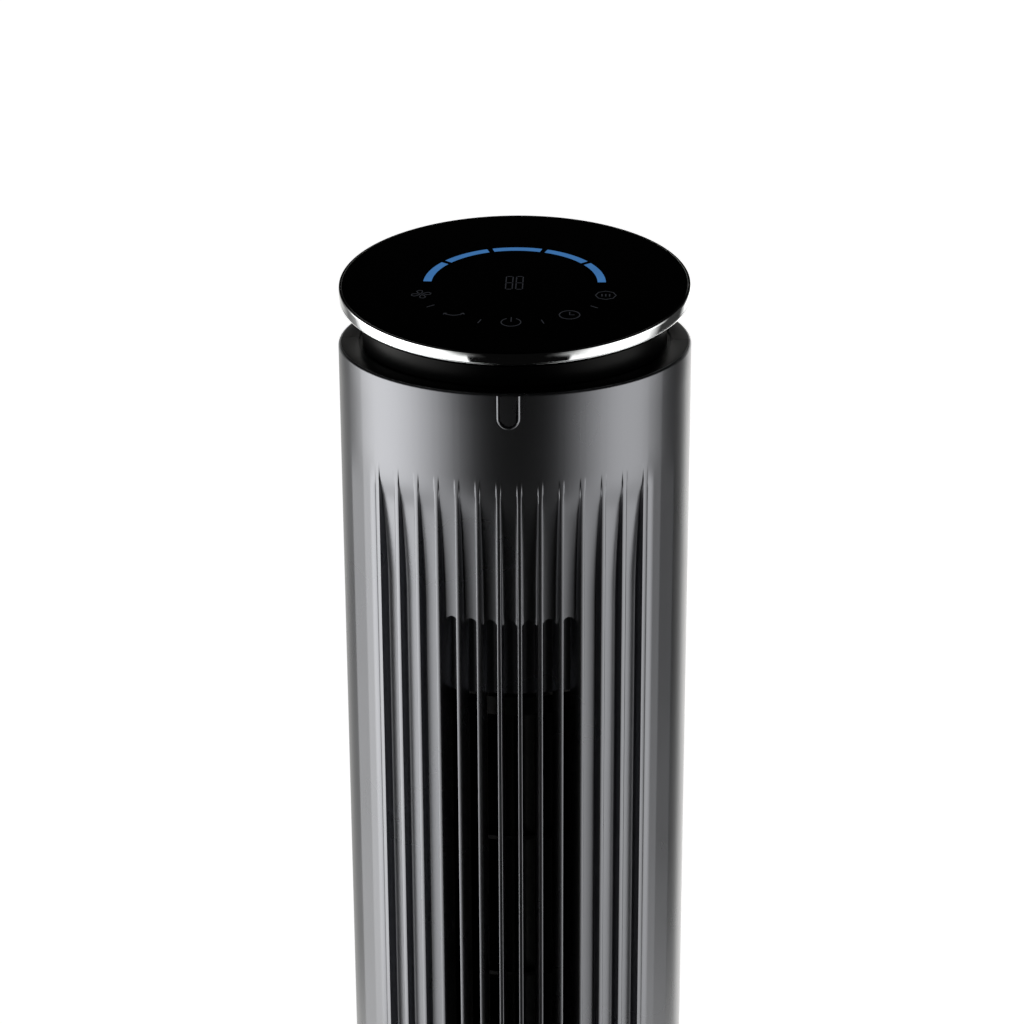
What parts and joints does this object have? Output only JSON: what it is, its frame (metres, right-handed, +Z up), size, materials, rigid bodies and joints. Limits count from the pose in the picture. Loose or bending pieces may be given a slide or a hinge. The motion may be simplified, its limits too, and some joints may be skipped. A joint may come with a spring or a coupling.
{
  "type": "tower fan",
  "caption": "Tall cylindrical tower fan with a fluted front grille, a tilted round glass touch panel in a bright ring, a crossflow impeller and a swinging column on a round base.",
  "frame": {"origin": "centre of the face that the feet stand on, on the column's axis", "axes": "+Z up along the column, the front grille faces -Y, +X is to the right seen from the front"},
  "size_m": [0.3, 0.3, 0.9995],
  "materials": {
    "gunmetal_shell": "satin metallic gunmetal coat on ABS",
    "grille_grey": "satin moulded",
    "base_shell": "satin moulded",
    "black_plastic": "moulded",
    "gloss_black": "polished",
    "rubber": "moulded",
    "ballast": "painted casting",
    "steel": "zinc plated",
    "black_steel": "black oxide",
    "acetal": "natural acetal",
    "plated_case": "zinc plated pressing",
    "copper_windings": "enamelled copper on laminations",
    "rotor_steel": "ground",
    "bronze": "sintered bronze",
    "circuit_board": "solder mask",
    "components": "moulded",
    "chrome_trim": "polished",
    "panel_glass": "black-printed polished glass",
    "blue_light": "lit translucent",
    "aluminium": "machined"
  },
  "bodies": {
    "base": {"rubber_feet": "rubber", "base_plate": "black_plastic", "base_cover": "base_shell", "base_weight": "ballast", "base_screws": "steel", "pivot_post": "acetal", "post_screws": "steel", "swing_gear": "acetal", "thrust_ring": "acetal", "post_clip": "steel", "cord_gland": "rubber"},
    "column": {"swivel_plate": "black_plastic", "swivel_screws": "steel", "swing_motor": "plated_case", "swing_motor_screws": "steel", "front_housing": "gunmetal_shell", "rear_housing": "gunmetal_shell", "intake_grille": "grille_grey", "carry_handle": "black_plastic", "housing_screws": "black_steel", "lower_bulkhead": "black_plastic", "upper_bulkhead": "black_plastic", "bulkhead_screws": "steel", "scroll_wall": "black_plastic", "tongue_wall": "black_plastic", "motor_case_lower": "plated_case", "motor_case_upper": "plated_case", "stator": "copper_windings", "motor_bushes": "bronze", "motor_mounts": "rubber", "motor_screws": "steel", "top_bearing": "bronze", "bearing_rubber": "rubber", "bearing_cap": "black_plastic", "bearing_screws": "steel", "power_board": "circuit_board", "power_parts": "components", "ir_window": "gloss_black", "ir_receiver": "components", "neck": "gloss_black", "neck_screws": "steel", "head_pan": "black_plastic", "chrome_ring": "chrome_trim", "touch_glass": "panel_glass", "control_board": "circuit_board", "light_guides": "blue_light", "digit_display": "components", "touch_springs": "steel", "board_screws": "steel"},
    "impeller": {"impeller": "black_plastic", "impeller_hub": "aluminium", "hub_set_screw": "steel", "top_stub_shaft": "steel", "rotor": "rotor_steel", "motor_shaft": "steel"},
    "swing_drive": {"swing_pinion": "acetal", "pinion_shaft": "steel"}
  },
  "joints": [
    {"name": "swing", "type": "hinge", "parent": "base", "child": "column", "pos_m": [0, 0, 0.058], "axis": [0, 0, 1], "range_deg": [-40, 40]},
    {"name": "impeller_spin", "type": "hinge", "parent": "column", "child": "impeller", "pos_m": [0, 0, 0.5], "axis": [0, 0, 1], "continuous": true},
    {"name": "pinion_spin", "type": "hinge", "parent": "column", "child": "swing_drive", "pos_m": [0, 0.03775, 0.0475], "axis": [0, 0, 1], "range_deg": [-165, 165]}
  ],
  "couplings": [
    {"joint": "pinion_spin", "follows": "swing", "ratio": 4}
  ]
}
